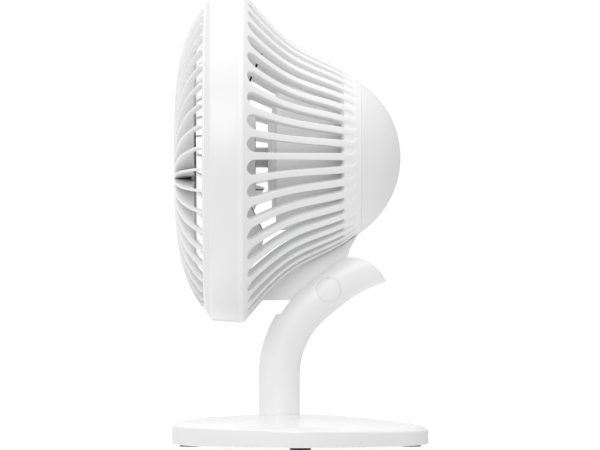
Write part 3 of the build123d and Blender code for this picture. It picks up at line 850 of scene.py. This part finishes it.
# ---------------------------------------------------------------- the nodes that keep their CAD shape
def finish_cad_nodes():
    """Materials for the screws, boards, motor parts and the arm, whose CAD shape is right."""
    nodes_by_material = [
        (steel, "base_screws power_socket arm_screws pivot_bolt pivot_nut neck_screws motor_screws"),
        (steel, "stator_core grille_screws motor_shaft"),
        (inner_white, "base_plate motor_end_cap spinner_nut"),
        (green, "control_board socket_board motor_board"),
        (sheath, "tactile_switch arm_lead motor_lead"),
        (bronze, "front_bush rear_bush"),
        (cast, "ballast_weight"),
        (foot_rubber, "rubber_feet"),
        (nylon, "friction_washers"),
        (copper, "stator_windings"),
        (magnet, "rotor_magnet"),
    ]
    for material, names in nodes_by_material:
        for node in names.split():
            cad_finish(node, material)
    for node in ("arm_left_shell", "arm_right_shell"):
        cad_finish(node, arm_white, bevel=0.35)
    for node in ("pivot_cap_left", "pivot_cap_right"):
        cad_finish(node, arm_white, bevel=0.15)
    cad_finish("neck_bracket", arm_white, bevel=0.5)


# ---------------------------------------------------------------- camera, floor and light, in metres
def side_camera():
    """A long lens at the fan's side, level, whose view is 360 mm wide where the fan stands."""
    data = bpy.data.cameras.new("camera")
    data.lens = 384.0
    data.sensor_width = 36.0
    data.clip_end = 100.0
    camera = new_object("camera", data)
    camera.location = (3.84, -0.0002, 0.1328)
    camera.rotation_euler = (math.radians(90), 0, math.radians(90))
    bpy.context.scene.camera = camera


def floor():
    """A wide pale floor with a faint glow. The fan neither mirrors it nor takes light from it."""
    bm = bmesh.new()
    rings = [[about_base(radius, 0, 2 * math.pi * i / 64) for i in range(64)] for radius in (0.02, 60000)]
    skin(bm, rings, closed_columns=True)
    bmesh.ops.scale(bm, vec=(MM, MM, MM), verts=bm.verts)
    plane = new_object("floor", new_mesh("floor", bm))
    material = plastic("floor_white", grey(0.9), 0.6)
    shader = material.node_tree.nodes["Principled BSDF"]
    shader.inputs["Emission Color"].default_value = (1, 1, 1, 1)
    shader.inputs["Emission Strength"].default_value = 0.3
    plane.data.materials.append(material)
    plane.visible_diffuse = False
    plane.visible_glossy = False


def lamp(name, place, aim, size, power):
    """A square area light that points at a place."""
    data = bpy.data.lights.new(name, "AREA")
    data.shape = "SQUARE"
    data.size = size
    data.energy = power
    light = new_object(name, data)
    light.location = place
    light.rotation_euler = (Vector(aim) - Vector(place)).to_track_quat("-Z", "Y").to_euler()


def grey_ramp(tree, stops):
    """A colour ramp of greys; stops are (position, value)."""
    ramp = tree.nodes.new("ShaderNodeValToRGB")
    while len(ramp.color_ramp.elements) < len(stops):
        ramp.color_ramp.elements.new(0.5)
    for element, (position, value) in zip(ramp.color_ramp.elements, stops):
        element.position = position
        element.color = (*grey(value), 1)
    return ramp


def studio_light(tree):
    """The studio's brightness by direction: a product of one ramp along each axis, from - to +.

    It is bright below, above and on the fan's far side, and dimmest at eye level behind the fan.
    """
    stops_by_axis = {
        "X": ((0.0, 1.9), (0.4, 1.5), (0.52, 1.0), (1.0, 1.0)),
        "Y": ((0.0, 0.9), (0.45, 0.9), (0.68, 0.62), (0.88, 0.75), (1.0, 1.2)),
        "Z": ((0.0, 1.8), (0.14, 1.2), (0.38, 0.52), (0.58, 0.55), (0.84, 0.85), (1.0, 1.1)),
    }
    link = tree.links.new
    place = tree.nodes.new("ShaderNodeTexCoord")
    split = tree.nodes.new("ShaderNodeSeparateXYZ")
    link(place.outputs["Generated"], split.inputs["Vector"])
    product = None
    for axis, stops in stops_by_axis.items():
        share = tree.nodes.new("ShaderNodeMapRange")
        share.inputs["From Min"].default_value = -1.0
        ramp = grey_ramp(tree, stops)
        link(split.outputs[axis], share.inputs["Value"])
        link(share.outputs["Result"], ramp.inputs["Fac"])
        if product is None:
            product = ramp.outputs["Color"]
            continue
        multiply = tree.nodes.new("ShaderNodeMixRGB")
        multiply.blend_type = "MULTIPLY"
        multiply.inputs["Fac"].default_value = 1.0
        link(product, multiply.inputs["Color1"])
        link(ramp.outputs["Color"], multiply.inputs["Color2"])
        product = multiply.outputs["Color"]
    return product


def studio_world():
    """The studio lights the fan, and plain white stands behind it."""
    world = bpy.data.worlds.new("studio")
    bpy.context.scene.world = world
    world.use_nodes = True
    tree = world.node_tree
    tree.nodes.clear()
    around = tree.nodes.new("ShaderNodeBackground")
    behind = tree.nodes.new("ShaderNodeBackground")
    behind.inputs["Strength"].default_value = 1.05
    behind.inputs["Color"].default_value = (1, 1, 1, 1)
    rays = tree.nodes.new("ShaderNodeLightPath")
    mix = tree.nodes.new("ShaderNodeMixShader")
    output = tree.nodes.new("ShaderNodeOutputWorld")
    link = tree.links.new
    link(studio_light(tree), around.inputs["Color"])
    link(rays.outputs["Is Camera Ray"], mix.inputs["Fac"])
    link(around.outputs["Background"], mix.inputs[1])
    link(behind.outputs["Background"], mix.inputs[2])
    link(mix.outputs["Shader"], output.inputs["Surface"])


# ---------------------------------------------------------------- the scene
side_camera()
rear_housing()
band()
guard()
guard_cap()
dome()
motor_tub()
motor_can()
impeller()
base_body()
press_button()
finish_cad_nodes()
floor()
studio_world()
lamp("side_light", (1.7, -0.3, 0.95), (0, 0, 0.1), 1.0, 12.5)
lamp("top_light", (0.1, 0.2, 1.5), (0, 0, 0.15), 1.2, 4.0)
bpy.context.scene.view_settings.view_transform = "Standard"
